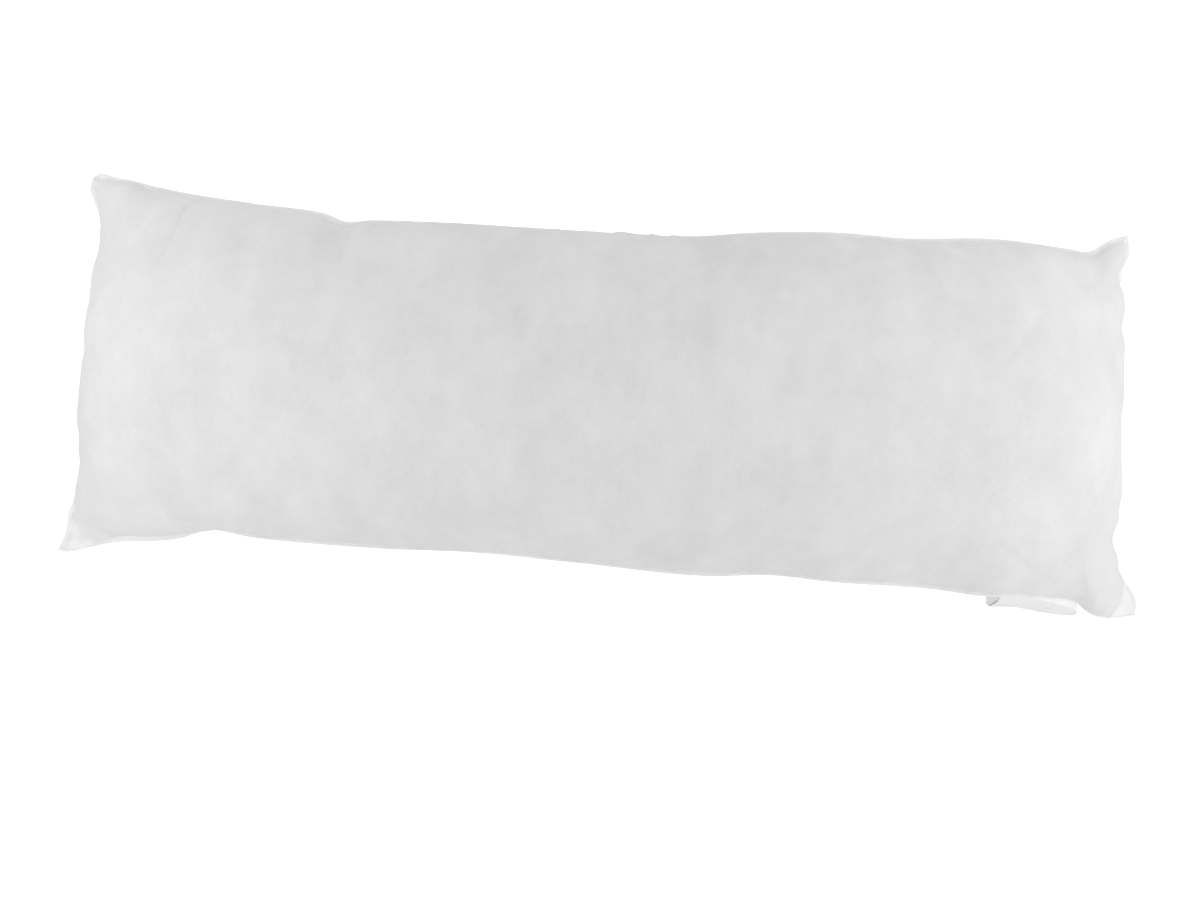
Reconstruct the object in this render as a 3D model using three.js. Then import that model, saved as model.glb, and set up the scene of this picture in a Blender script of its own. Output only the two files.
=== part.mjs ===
// A throw pillow insert: a filled white cover that lies on its back, with a folded care label in one seam.
// Millimetres, +Z up. X runs along the pillow and Y across it, towards the long side that carries no label.
// The origin is under the middle of the pillow's box, on the surface that it lies on.

import * as THREE from 'three';

// The cover, as filled
const SEAM_HEIGHT = 68; // the sewn edge above the surface that the pillow lies on
const EDGE_WIDTH = 3.5; // the flat sewn edge that stands out past the filling
const EDGE_THICKNESS = 1.2; // front and back panel together, in that edge
const COVER_LENGTH = 845; // between the two end seams, on the middle line
const COVER_WIDTH = 283; // between the two long seams, on the middle line
const END_ROUNDING = 97; // the length over which each end comes down to its seam
const REST_BLEND = 5; // how softly the rounded underside meets its flat patch
const CREASE_FADE = 20; // below this filled height, creases fade out towards the seam
const CORNER_THINNING = 0.5; // share of the filling missing at the very corners
const CORNER_REACH = 99; // how far from a corner the filling is still thin

// Facets along and across each panel, and how finely the length of an edge is measured
const FACETS_ALONG = 76;
const FACETS_ACROSS = 24;
const CURVE_DIVISIONS = 600;

// The sewn edge as it lies, seen from above: a row for each place where it turns, dips or stands out
const FAR_EDGE = [
  { x: -430.5, y: 154 },
  { x: -424, y: 158.5 },
  { x: -409.5, y: 156 },
  { x: -399, y: 155 },
  { x: -377, y: 151 },
  { x: -345, y: 147 },
  { x: -300, y: 143 },
  { x: -240, y: 138.5 },
  { x: -221, y: 132.5 },
  { x: -200, y: 135 },
  { x: -120, y: 137 },
  { x: -20, y: 137 },
  { x: 65, y: 138 },
  { x: 120, y: 144.5 },
  { x: 190, y: 148.5 },
  { x: 245, y: 147 },
  { x: 320, y: 151 },
  { x: 375, y: 146 },
  { x: 393.5, y: 144 },
  { x: 402, y: 150 },
  { x: 411.5, y: 155.5 },
  { x: 422.5, y: 159 },
];
const NEAR_EDGE = [
  { x: -446, y: -155 },
  { x: -438, y: -156.5 },
  { x: -412, y: -149.5 },
  { x: -390, y: -144.5 },
  { x: -364, y: -142.5 },
  { x: -342, y: -138.5 },
  { x: -318, y: -130.5 },
  { x: -280, y: -134.5 },
  { x: -180, y: -137 },
  { x: -100, y: -135.5 },
  { x: -20, y: -138.5 },
  { x: 90, y: -143.5 },
  { x: 150, y: -139.5 },
  { x: 200, y: -142 },
  { x: 280, y: -142.5 },
  { x: 327, y: -146 },
  { x: 364, y: -145 },
  { x: 403, y: -146 },
  { x: 410.5, y: -151.5 },
  { x: 421, y: -157.5 },
  { x: 433, y: -159.5 },
  { x: 456.5, y: -156 },
];
const LEFT_EDGE = [
  { x: -446, y: -155 },
  { x: -440.5, y: -141 },
  { x: -437, y: -120 },
  { x: -431, y: -98 },
  { x: -428.5, y: -75 },
  { x: -427.5, y: -52 },
  { x: -424.5, y: -20 },
  { x: -423, y: 20 },
  { x: -423.5, y: 72 },
  { x: -421.5, y: 100 },
  { x: -422.5, y: 116 },
  { x: -427, y: 134 },
  { x: -431.5, y: 145.5 },
  { x: -430.5, y: 154 },
];
const RIGHT_EDGE = [
  { x: 456.5, y: -156 },
  { x: 456, y: -143 },
  { x: 448, y: -128 },
  { x: 435, y: -108 },
  { x: 429, y: -93 },
  { x: 430.5, y: -77 },
  { x: 430.5, y: -58 },
  { x: 426.5, y: -28 },
  { x: 425, y: 20 },
  { x: 426, y: 62 },
  { x: 424, y: 84 },
  { x: 425.5, y: 100 },
  { x: 422.5, y: 116 },
  { x: 421, y: 129 },
  { x: 425, y: 143.5 },
  { x: 422.5, y: 159 },
];

// Filled height above and below the seam: a row for each cross section along the pillow
const SECTIONS = [
  { x: -430, above: 82, below: 78 },
  { x: -300, above: 83, below: 79 },
  { x: -170, above: 86, below: 81 },
  { x: -40, above: 84, below: 80 },
  { x: 90, above: 87, below: 82 },
  { x: 230, above: 85, below: 80 },
  { x: 330, above: 84, below: 79 },
  { x: 430, above: 83, below: 78 },
];

// Where the sewn edge leaves its plane at the corners: the ears curl a little
const EARS = [
  { x: -430, y: 156, rise: 7 },
  { x: 423, y: 158, rise: 10 },
  { x: -445, y: -155, rise: -5 },
  { x: 456, y: -156, rise: -9 },
];
const EAR_REACH = 55;

// Soft humps and hollows where the filling lies thicker or thinner
const LUMPS = [
  { x: -330, y: 40, size: 70, rise: 3 },
  { x: -255, y: -50, size: 60, rise: 2.5 },
  { x: -215, y: 88, size: 48, rise: -4 },
  { x: -130, y: 10, size: 75, rise: 2 },
  { x: -20, y: -40, size: 60, rise: -2 },
  { x: 60, y: 50, size: 65, rise: 2.5 },
  { x: 180, y: -35, size: 70, rise: -2 },
  { x: 240, y: 60, size: 60, rise: 2 },
  { x: 335, y: 10, size: 65, rise: 3 },
  { x: 370, y: -75, size: 45, rise: -2.5 },
];

// Main creases of the upper panel: a row for each, its line running from the seam inwards. A negative depth is
// a ridge.
const CREASES = [
  // beside the far left ear, bent like a crescent
  { depth: 2.5, width: 7, line: [[-334, 141], [-338, 129], [-337, 106], [-339, 95]] },
  // from the dip in the far seam, and the slant below it
  { depth: 6, width: 13, line: [[-221, 133], [-212, 108]] },
  { depth: 2, width: 12, line: [[-241, 67], [-215, 86], [-185, 93], [-148, 105]] },
  // below the far right ear, and the ridge that closes it off
  { depth: 4, width: 12, line: [[395, 141], [386, 126], [358, 124]] },
  { depth: -3, width: 10, line: [[414, 127], [392, 112], [364, 94]] },
  // above the near right ear, and beside the label
  { depth: 4, width: 12, line: [[429, -93], [408, -107], [397, -119]] },
  { depth: 2.5, width: 12, line: [[404, -148], [398, -130]] },
  // right of the near left ear, and above it
  { depth: 4, width: 13, line: [[-318, -131], [-313, -126], [-304, -112]] },
  { depth: 3, width: 12, line: [[-431, -98], [-400, -108]] },
];

// The care label: one strip folded in half, its two ends caught under the sewn edge
const LABEL_THICKNESS = 1;
const LABEL_LAYER_GAP = 0.8;
const LABEL_CLEARANCE = 0.35; // to the cover
const LABEL_ROOT_DEPTH = 1.4; // how far in from the sewn edge the strip ends
const LABEL_SECTION_STEPS = 9;
const LABEL_COLUMNS = 14;
const LABEL_BEND_STEPS = 5;
// The way from the seam to the fold, between the two layers: out from the seam, and down from it
const LABEL_DROP = [
  { out: 0, down: 0 },
  { out: 6, down: 0.6 },
  { out: 12, down: 3.2 },
  { out: 15, down: 8.5 },
  { out: 16, down: 16 },
];
// Its side edges along that way, front layer first and back again along the rear layer
const LABEL_SIDES = [
  { way: 0, left: 341, right: 406 },
  { way: 0.3, left: 337, right: 406 },
  { way: 0.46, left: 335, right: 403.5 },
  { way: 0.5, left: 336.5, right: 401 },
  { way: 0.54, left: 335, right: 403.5 },
  { way: 0.7, left: 330, right: 405 },
  { way: 1, left: 328.5, right: 405 },
];

const COVER_WHITE = 0xf1f1f0;
const LABEL_WHITE = 0xf7f7f6;

// A smooth curve through the rows of an edge, taken at a share of its length
function edgeCurve(rows) {
  const points = rows.map((row) => new THREE.Vector3(row.x, row.y, 0));
  const curve = new THREE.CatmullRomCurve3(points, false, 'centripetal');
  curve.arcLengthDivisions = CURVE_DIVISIONS;
  return (share) => curve.getPointAt(share);
}

// A value read off a table between its rows, eased from row to row
function readTable(rows, key, value, at) {
  const next = rows.findIndex((row) => row[key] >= at);
  if (next === 0) return rows[0][value];
  if (next < 0) return rows[rows.length - 1][value];
  const before = rows[next - 1];
  const share = (at - before[key]) / (rows[next][key] - before[key]);
  return THREE.MathUtils.lerp(before[value], rows[next][value], share * share * (3 - 2 * share));
}

function gaussian(distance, reach) {
  return Math.exp(-((distance / reach) ** 2));
}

// Distance in plan from a point to a line of straight pieces
function distanceToLine(x, y, line) {
  const point = new THREE.Vector3(x, y, 0);
  const foot = new THREE.Vector3();
  let least = Infinity;
  for (let k = 1; k < line.length; k += 1) {
    const piece = new THREE.Line3(new THREE.Vector3(...line[k - 1], 0), new THREE.Vector3(...line[k], 0));
    piece.closestPointToPoint(point, true, foot);
    least = Math.min(least, foot.distanceTo(point));
  }
  return least;
}

// The four edges span the cover: a share along and a share across give a place in plan
const far = edgeCurve(FAR_EDGE);
const near = edgeCurve(NEAR_EDGE);
const left = edgeCurve(LEFT_EDGE);
const right = edgeCurve(RIGHT_EDGE);

function placeInPlan(along, across) {
  const place = new THREE.Vector3();
  place.addScaledVector(near(along), 1 - across);
  place.addScaledVector(far(along), across);
  place.addScaledVector(left(across), 1 - along);
  place.addScaledVector(right(across), along);
  place.addScaledVector(near(0), -(1 - along) * (1 - across));
  place.addScaledVector(near(1), -along * (1 - across));
  place.addScaledVector(far(0), -(1 - along) * across);
  place.addScaledVector(far(1), -along * across);
  return place;
}

// A quarter ellipse: how full the pillow is at a share of the way in from a seam
function fullness(share) {
  return Math.sqrt(1 - (1 - Math.min(share, 1)) ** 2);
}

function cornerThinning(x, y) {
  const nearest = Math.min(...EARS.map((ear) => Math.hypot(x - ear.x, y - ear.y)));
  return 1 - CORNER_THINNING * gaussian(nearest, CORNER_REACH);
}

function seamHeight(x, y) {
  return EARS.reduce(
    (height, ear) => height + ear.rise * gaussian(Math.hypot(x - ear.x, y - ear.y), EAR_REACH),
    SEAM_HEIGHT,
  );
}

// Humps and creases of the upper panel, at a place in plan
function upperRelief(x, y) {
  const humps = LUMPS.reduce(
    (sum, lump) => sum + lump.rise * gaussian(Math.hypot(x - lump.x, y - lump.y), lump.size),
    0,
  );
  return CREASES.reduce(
    (sum, crease) => sum - crease.depth * gaussian(distanceToLine(x, y, crease.line), crease.width),
    humps,
  );
}

// The rounded underside comes down softly to the flat patch that it rests on
function restOnSurface(height) {
  if (height >= REST_BLEND) return height;
  if (height <= -REST_BLEND) return 0;
  return (height + REST_BLEND) ** 2 / (4 * REST_BLEND);
}

// A point of the upper (side 1) or lower (side -1) panel, inside the sewn edge
function panelPoint(along, across, side) {
  const inAlong = EDGE_WIDTH / COVER_LENGTH;
  const inAcross = EDGE_WIDTH / COVER_WIDTH;
  const place = placeInPlan(
    THREE.MathUtils.lerp(inAlong, 1 - inAlong, along),
    THREE.MathUtils.lerp(inAcross, 1 - inAcross, across),
  );
  const fromEnd = (Math.min(along, 1 - along) * COVER_LENGTH) / END_ROUNDING;
  const fromSide = 2 * Math.min(across, 1 - across);
  const share = fullness(fromEnd) * fullness(fromSide) * cornerThinning(place.x, place.y);
  const sewn = seamHeight(place.x, place.y);
  if (side > 0) {
    const filled = share * readTable(SECTIONS, 'x', 'above', place.x);
    const relief = upperRelief(place.x, place.y) * Math.min(1, filled / CREASE_FADE);
    place.z = sewn + EDGE_THICKNESS / 2 + filled + relief;
  } else {
    const filled = share * readTable(SECTIONS, 'x', 'below', place.x);
    place.z = restOnSurface(sewn - EDGE_THICKNESS / 2 - filled);
  }
  return place;
}

// A closed solid from its corner points and its faces, each face a loop seen from outside
function solid(name, points, faces, colour, roughness) {
  const geometry = new THREE.BufferGeometry();
  const numbers = points.flatMap((point) => point.toArray());
  geometry.setAttribute('position', new THREE.Float32BufferAttribute(numbers, 3));
  const corners = [];
  for (const face of faces) {
    for (let k = 2; k < face.length; k += 1) corners.push(face[0], face[k - 1], face[k]);
  }
  geometry.setIndex(corners);
  geometry.computeVertexNormals();
  const material = new THREE.MeshStandardMaterial({ color: colour, roughness, metalness: 0 });
  const mesh = new THREE.Mesh(geometry, material);
  mesh.name = name;
  return mesh;
}

// Rings close together where the panel turns down steeply to its seam, and wide apart on the crown
function spreadToEdges(step, steps) {
  return (1 - Math.cos((Math.PI * step) / steps)) / 2;
}

function pillowBody() {
  const columns = FACETS_ALONG + 1;
  const rows = FACETS_ACROSS + 1;
  const points = [];
  for (const side of [1, -1]) {
    for (let j = 0; j < rows; j += 1) {
      for (let i = 0; i < columns; i += 1) {
        points.push(panelPoint(spreadToEdges(i, FACETS_ALONG), spreadToEdges(j, FACETS_ACROSS), side));
      }
    }
  }
  const upper = (i, j) => j * columns + i;
  const lower = (i, j) => rows * columns + upper(i, j);

  const faces = [];
  for (let j = 0; j < FACETS_ACROSS; j += 1) {
    for (let i = 0; i < FACETS_ALONG; i += 1) {
      faces.push([upper(i, j), upper(i + 1, j), upper(i + 1, j + 1), upper(i, j + 1)]);
      faces.push([lower(i, j), lower(i, j + 1), lower(i + 1, j + 1), lower(i + 1, j)]);
    }
  }

  // The sewn edge runs once round the cover, as a thin band outside the two panels
  const loop = [];
  for (let i = 0; i < FACETS_ALONG; i += 1) loop.push([i, 0]);
  for (let j = 0; j < FACETS_ACROSS; j += 1) loop.push([FACETS_ALONG, j]);
  for (let i = FACETS_ALONG; i > 0; i -= 1) loop.push([i, FACETS_ACROSS]);
  for (let j = FACETS_ACROSS; j > 0; j -= 1) loop.push([0, j]);
  const firstOuter = points.length;
  for (const [i, j] of loop) {
    const place = placeInPlan(spreadToEdges(i, FACETS_ALONG), spreadToEdges(j, FACETS_ACROSS));
    const sewn = seamHeight(place.x, place.y);
    points.push(new THREE.Vector3(place.x, place.y, sewn + EDGE_THICKNESS / 2));
    points.push(new THREE.Vector3(place.x, place.y, sewn - EDGE_THICKNESS / 2));
  }
  loop.forEach(([i, j], k) => {
    const [nextI, nextJ] = loop[(k + 1) % loop.length];
    const outer = firstOuter + 2 * k;
    const nextOuter = firstOuter + 2 * ((k + 1) % loop.length);
    faces.push([upper(i, j), outer, nextOuter, upper(nextI, nextJ)]);
    faces.push([outer, outer + 1, nextOuter + 1, nextOuter]);
    faces.push([outer + 1, lower(i, j), lower(nextI, nextJ), nextOuter + 1]);
  });
  return solid('pillow_body', points, faces, COVER_WHITE, 0.9);
}

// The label's section across the seam: down the front layer, round the fold and up the rear layer.
// Each entry holds a place on the strip's middle plane, the direction through the strip, and the share of
// the way along it.
function labelSection() {
  const drop = LABEL_DROP.map((row) => new THREE.Vector3(row.out, -row.down, 0));
  const path = new THREE.CatmullRomCurve3(drop);
  const halfSpread = (LABEL_THICKNESS + LABEL_LAYER_GAP) / 2;
  const layer = [];
  for (let k = 0; k <= LABEL_SECTION_STEPS; k += 1) {
    const at = k / LABEL_SECTION_STEPS;
    const along = path.getTangentAt(at);
    layer.push({ middle: path.getPointAt(at), outward: new THREE.Vector3(-along.y, along.x, 0), at });
  }
  const place = (entry, shift) => entry.middle.clone().addScaledVector(entry.outward, shift);
  const front = layer.map((entry) => ({
    middle: place(entry, halfSpread),
    across: entry.outward,
    way: entry.at / 2,
  }));
  const last = layer[LABEL_SECTION_STEPS];
  const down = new THREE.Vector3(last.outward.y, -last.outward.x, 0);
  const fold = [];
  for (let k = 1; k < LABEL_BEND_STEPS; k += 1) {
    const turn = (Math.PI * k) / LABEL_BEND_STEPS;
    const across = down.clone().multiplyScalar(Math.sin(turn));
    across.addScaledVector(last.outward, Math.cos(turn));
    fold.push({ middle: last.middle.clone().addScaledVector(across, halfSpread), across, way: 0.5 });
  }
  const rear = layer.map((entry) => ({
    middle: place(entry, -halfSpread),
    across: entry.outward.clone().negate(),
    way: 1 - entry.at / 2,
  }));
  return [...front, ...fold, ...rear.reverse()];
}

// Where the label starts under the sewn edge, just clear of the filled cover
function labelRoot(x) {
  const sewnEdge = readTable(NEAR_EDGE, 'x', 'y', x);
  return sewnEdge + LABEL_ROOT_DEPTH;
}

function careLabel() {
  const section = labelSection();
  const belowSeam = EDGE_THICKNESS / 2 + LABEL_CLEARANCE + LABEL_THICKNESS + LABEL_LAYER_GAP / 2;
  const points = [];
  for (let column = 0; column <= LABEL_COLUMNS; column += 1) {
    for (const face of [1, -1]) {
      for (const { middle, across, way } of section) {
        const x = THREE.MathUtils.lerp(
          readTable(LABEL_SIDES, 'way', 'left', way),
          readTable(LABEL_SIDES, 'way', 'right', way),
          column / LABEL_COLUMNS,
        );
        const offset = middle.clone().addScaledVector(across, (face * LABEL_THICKNESS) / 2);
        const root = labelRoot(x);
        points.push(new THREE.Vector3(x, root - offset.x, seamHeight(x, root) - belowSeam + offset.y));
      }
    }
  }
  const count = section.length;
  const at = (column, face, k) => (2 * column + (face > 0 ? 0 : 1)) * count + k;
  const faces = [];
  for (let k = 0; k + 1 < count; k += 1) {
    for (let i = 0; i < LABEL_COLUMNS; i += 1) {
      faces.push([at(i, 1, k), at(i, 1, k + 1), at(i + 1, 1, k + 1), at(i + 1, 1, k)]);
      faces.push([at(i, -1, k), at(i + 1, -1, k), at(i + 1, -1, k + 1), at(i, -1, k + 1)]);
    }
    const last = LABEL_COLUMNS;
    faces.push([at(0, 1, k), at(0, -1, k), at(0, -1, k + 1), at(0, 1, k + 1)]);
    faces.push([at(last, 1, k), at(last, 1, k + 1), at(last, -1, k + 1), at(last, -1, k)]);
  }
  const end = count - 1;
  for (let i = 0; i < LABEL_COLUMNS; i += 1) {
    faces.push([at(i, 1, 0), at(i + 1, 1, 0), at(i + 1, -1, 0), at(i, -1, 0)]);
    faces.push([at(i, 1, end), at(i, -1, end), at(i + 1, -1, end), at(i + 1, 1, end)]);
  }
  return solid('care_label', points, faces, LABEL_WHITE, 0.6);
}

const pillow = new THREE.Group();
pillow.add(pillowBody(), careLabel());

const box = new THREE.Box3().setFromObject(pillow);
const middle = box.getCenter(new THREE.Vector3());
pillow.position.set(-middle.x, -middle.y, -box.min.z);

export default pillow;
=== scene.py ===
# A throw pillow insert: a filled white non-woven cover with a sewn edge all round, and one bare care label.
# Tables and shape sizes are in millimetres, in the pillow's own plan; meshes are in metres, in the frame's.

import math

import bpy
import numpy as np
from bpy.props import FloatProperty, FloatVectorProperty, IntProperty, PointerProperty
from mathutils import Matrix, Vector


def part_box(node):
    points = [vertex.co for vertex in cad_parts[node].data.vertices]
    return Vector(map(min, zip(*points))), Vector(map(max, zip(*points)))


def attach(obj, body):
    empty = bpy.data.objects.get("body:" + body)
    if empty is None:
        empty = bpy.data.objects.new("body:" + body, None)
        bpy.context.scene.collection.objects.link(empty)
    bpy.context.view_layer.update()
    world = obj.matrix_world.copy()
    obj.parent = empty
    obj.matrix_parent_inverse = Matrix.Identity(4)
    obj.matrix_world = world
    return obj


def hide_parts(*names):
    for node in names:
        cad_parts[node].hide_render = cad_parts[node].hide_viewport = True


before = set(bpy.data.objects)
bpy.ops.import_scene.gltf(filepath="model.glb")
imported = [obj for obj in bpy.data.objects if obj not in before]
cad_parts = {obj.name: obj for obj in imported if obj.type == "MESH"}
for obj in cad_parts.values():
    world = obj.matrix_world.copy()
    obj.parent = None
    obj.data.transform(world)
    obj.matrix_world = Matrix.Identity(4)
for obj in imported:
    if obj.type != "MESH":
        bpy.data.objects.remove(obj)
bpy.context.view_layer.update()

bl_info = {
    "name": "Throw pillow insert",
    "version": (1, 0, 0),
    "blender": (4, 5, 0),
    "location": "3D View > Sidebar > Pillow",
    "description": "A filled pillow insert with a sewn edge, its stitching and a folded care label",
    "category": "Object",
}

# A millimetre in metres
MM = 0.001

# The filled cover's main sizes
SEAM_HEIGHT = 68
CLOTH_LENGTH = 914
CLOTH_WIDTH = 356
COVER_LENGTH = 845
COVER_WIDTH = 283
END_ROUNDING = 97

# How softly the underside comes down to where it rests
REST_BLEND = 5

# How much filling gives the main creases and the fine ones their full depth
CREASE_FADE = 20
WRINKLE_FADE = 6

# How much filling it takes before the painted light, which stands for light shining through the thin unfilled
# cloth, is gone, away from the ears
PAINTED_LIGHT_DEPTH = 10

# The share by which the filling thins towards a corner, and how far from an ear's tip each change reaches
CORNER_THINNING = 0.5
CORNER_REACH = 99
EAR_REACH = 55
GENTLE_REACH = 62
CALM_REACH = 125

# The sharp crease near the left end: its share of the way along, and how columns of the mesh are drawn to it
SHARP_COLUMN = 0.134
COLUMN_PULL = 0.8
COLUMN_REACH = 10

# The sewn edge seen from above, as x and y for each place where it turns, dips or stands out
FAR_EDGE = [
    (-430.5, 154), (-424, 158.5), (-409.5, 156), (-399, 155), (-377, 151), (-345, 147), (-300, 143),
    (-240, 138.5), (-221, 132.5), (-200, 135), (-120, 137), (-20, 137), (65, 138), (120, 144.5),
    (190, 148.5), (245, 147), (320, 151), (375, 146), (393.5, 144), (402, 150), (411.5, 155.5), (422.5, 159),
]
NEAR_EDGE = [
    (-446, -155), (-438, -156.5), (-412, -149.5), (-390, -144.5), (-364, -142.5), (-342, -138.5),
    (-318, -130.5), (-280, -134.5), (-180, -137), (-100, -135.5), (-20, -138.5), (90, -143.5),
    (150, -139.5), (200, -142), (280, -142.5), (327, -146), (364, -145), (403, -146), (410.5, -151.5),
    (421, -157.5), (433, -159.5), (458.5, -155.5),
]
LEFT_EDGE = [
    (-446, -155), (-440.5, -141), (-437, -120), (-431, -98), (-428.5, -75), (-427.5, -52), (-424.5, -20),
    (-423, 20), (-423.5, 72), (-421.5, 100), (-422.5, 116), (-427, 134), (-431.5, 145.5), (-430.5, 154),
]
RIGHT_EDGE = [
    (458.5, -155.5), (458, -145.5), (453.5, -136), (447, -128), (436, -108.5), (429, -93), (430.5, -77),
    (430.5, -58), (426.5, -28), (425, 20), (426, 62), (424, 84), (425.5, 100), (422.5, 116), (421, 129),
    (425, 143.5), (422.5, 159),
]

# Filled height at cross sections along the pillow: x, above the seam, below it
SECTIONS = [
    (-430, 82, 78), (-300, 83, 79), (-170, 86, 81), (-40, 84, 80),
    (90, 87, 82), (230, 85, 80), (330, 84, 79), (430, 83, 78),
]

# The corner ears: x, y, curl up or down, how much filling it takes before the painted light through the thin
# cloth is gone, how gently it begins
EARS = [(-430, 156, 7, 10, 0), (423, 158, 10, 10, 0), (-445, -155, -5, 1.5, 0.6), (456, -156, -9, 10, 0)]

# The ears' unfilled tips: a point on the line where the filling ends, the way to the tip, the line's softness
EMPTY_TIPS = [
    (441, -143.5, 0.957, -0.29, 5), (-427.5, 144, -1, 0.05, 4), (421, 144, 1, 0.1, 4),
    (-415, -137, -0.3, -0.95, 50),
]

# Share of the sewn edge's width that lies flat, by place along each of the four sides; the rest is bent down
FAR_LIE = [
    (-430, 0.5), (-300, 0.45), (-290, 1), (-225, 1.05), (-215, 0.35), (120, 0.35), (150, 0.9), (300, 0.9),
    (330, 0.45), (420, 0.45),
]
NEAR_LIE = [
    (-446, 0.6), (-405, 0.6), (-396, 1.35), (-350, 1.3), (-330, 0.5), (-318, 0.3), (-305, 0.8), (-200, 0.9),
    (-60, 1), (60, 1), (150, 0.8), (330, 0.9), (400, 0.9), (412, 0.5), (425, 0.25), (456, 0.3),
]
LEFT_LIE = [(-155, 0.9), (-122, 0.9), (-114, 0.3), (124, 0.3), (132, 1.1), (150, 1.1)]
RIGHT_LIE = [(-156, 0.9), (-133, 0.9), (-126, 0.3), (114, 0.3), (124, 0.9), (158, 0.9)]

# Soft humps and hollows of the filling: x, y, size, rise
LUMPS = [
    (-330, 40, 70, 3), (-255, -50, 60, 2.5), (-215, 88, 48, -4), (-130, 10, 75, 2), (-20, -40, 60, -2),
    (60, 50, 65, 2.5), (180, -35, 70, -2), (240, 60, 60, 2), (335, 10, 65, 3), (370, -75, 45, -2.5),
]

# Main creases of the upper panel, and a ridge where the depth is below 0: depth, width, line
CREASES = [
    (1.6, 6, [(-338, 142), (-343, 134), (-344, 122), (-343, 104), (-345, 92)]),
    (6, 13, [(-221, 133), (-212, 108)]),
    (2, 12, [(-241, 67), (-215, 86), (-185, 93), (-148, 105)]),
    (0.8, 12, [(395, 141), (386, 126), (358, 124)]),
    (-1.4, 10, [(414, 127), (392, 112), (364, 94)]),
    (3, 14, [(421, -100), (419, -120), (421, -140)]),
    (4, 13, [(-318, -131), (-313, -126), (-304, -112)]),
    (3, 12, [(-431, -98), (-400, -108)]),
]

# Finer creases of the upper panel, and ridges where the depth is below 0: depth, width, line
WRINKLES = [
    (0.8, 0.9, [
        (-335, 143), (-339.5, 141), (-342.4, 136), (-343.2, 128), (-342.3, 120), (-342.8, 110),
        (-343.5, 101)]),
    (0.5, 2.5, [(-335, 143), (-339.5, 141), (-342, 136), (-343, 129)]),
    (-0.3, 2, [(-347, 134), (-347.5, 126), (-346.6, 117)]),
    (-0.3, 5, [(413, 126.8), (392, 112.5), (364.7, 94.5), (353.5, 91)]),
    (0.3, 7, [(359.9, 125.4), (384.5, 125.4), (407.3, 126.2)]),
    (-0.5, 2, [(401, 101), (397.2, 97.5), (391, 97)]),
    (-0.5, 2, [(380, 88), (378.2, 83.4), (381, 78)]),
    (1.0, 7, [(-219, 128.3), (-208.8, 107.3), (-205, 91.7)]),
    (0.5, 6, [(-239.8, 94.7), (-190.8, 81.5)]),
    (0.35, 2, [(-412, 53), (-404, 44), (-395.5, 35.6), (-388, 16)]),
    (0.5, 6, [(-17, 12), (-14, -40)]),
    (0.5, 6, [(-117, 43), (-113, -9)]),
    (0.5, 5, [(156, -84), (163, -118)]),
    (0.8, 4, [(424, 81), (410.7, 79), (404, 84)]),
    (-0.8, 5, [(415.5, 67.5), (412, 62)]),
    (-1.4, 8, [(400, -136), (408, -140), (416, -145), (426, -150)]),
    (-0.8, 9, [(-424, -116), (-410, -127), (-390, -132)]),
]

# The label between its two layers: how steeply it falls, in degrees, at each distance past its crease
LABEL_SLOPES = [(-1, 4), (1.2, 50), (6, 56), (14, 64), (24, 68)]

# Its slope where it is sewn in
UNDER_SEAM_SLOPE = 12

# How far from the seam the label is creased, by place along it
LABEL_CREASE = [(330, 0), (366, 0.2), (384, 2.8), (390, 4.8), (405, 6), (410, 6.2)]

# The label's two side edges by the way along its strip, from the seam round the fold and back to the seam
LABEL_SIDES = [
    (0, 341, 407), (0.1, 341, 407.5), (0.2, 341, 408), (0.337, 340.5, 406.2), (0.42, 340.5, 403.8),
    (0.47, 340.5, 401), (0.5, 341, 397), (0.53, 339.5, 400), (0.57, 338, 403.5), (0.64, 335.5, 406),
    (0.76, 332.5, 406.5), (1, 328.5, 406),
]

# The trough below the label's crease: how far past the crease, and how wide
TROUGH_PLACE = 2
TROUGH_WIDTH = 1.6

# The distances from the seam and the fold, and the share from each side, within which the crinkles fade
CRINKLE_FROM_SEAM = 5
CRINKLE_FROM_FOLD = 3
CRINKLE_FROM_SIDE = 0.12

# The slopes, in degrees, between which painted shade comes onto the label's outside, darker where it hangs
# steeply
PAINTED_SHADE_SLOPES = (10, 50)

# The label's cells along the seam, down each layer and round the fold
LABEL_CELLS = (110, 44, 8)

# The sewn edge's section: share of the way out, height above its middle as a share of half its thickness
EDGE_SECTION = [
    (0.3, 0.85), (0.75, 0.95), (0.96, 0.9), (1, 0.5), (0.9, 0), (1, -0.5), (0.96, -0.9), (0.3, -0.85),
]

# The sewn edge's waves up and down: width of a hump in cells of the mesh, height, seed
EDGE_WAVES = [(3, 0.25, 71), (9, 0.35, 72)]

# The gathers by the seam: how far in they are highest, height, width
GATHERS = [(5, 0.35, 3), (14, 0.5, 9), (30, 0.6, 22)]

# How wide the filling's small lumps and the label's crinkles are, in cells of the mesh
LUMP_CELLS = 12
CRINKLE_CELLS = 5

# Seeds, so that each run draws the same uneven shapes; side 1 is the upper or front one, -1 the other
LUMP_SEEDS = {1: 5, -1: 6}
GATHER_SEEDS = {1: 20, -1: 40}
END_SEED_STEP = 10
CRINKLE_SEEDS = {1: 91, -1: 92}
STITCH_SEED = 31

# A stitch's rings and sides, and how unevenly stitches lie: along the seam, in pitches, and across it
STITCH_RINGS = 5
STITCH_SIDES = 5
UNEVEN_PITCH = 0.04
UNEVEN_LINE = 0.08

# How high a stitch arches over the edge, in radii of its thread, and how fast it falls towards its ends
ARCH_TOP = 0.4
ARCH_FALL = 6

# The square of a stitch's thickness, in radii of its thread, and how fast it falls towards its ends
THICKNESS_TOP = 1.05
THICKNESS_FALL = 4

# How many places a curve is read at, to measure it, to find the outline's middle and to follow the near seam
MEASURE_STEPS = 2001
OUTLINE_STEPS = 401
SEAM_STEPS = 801

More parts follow.
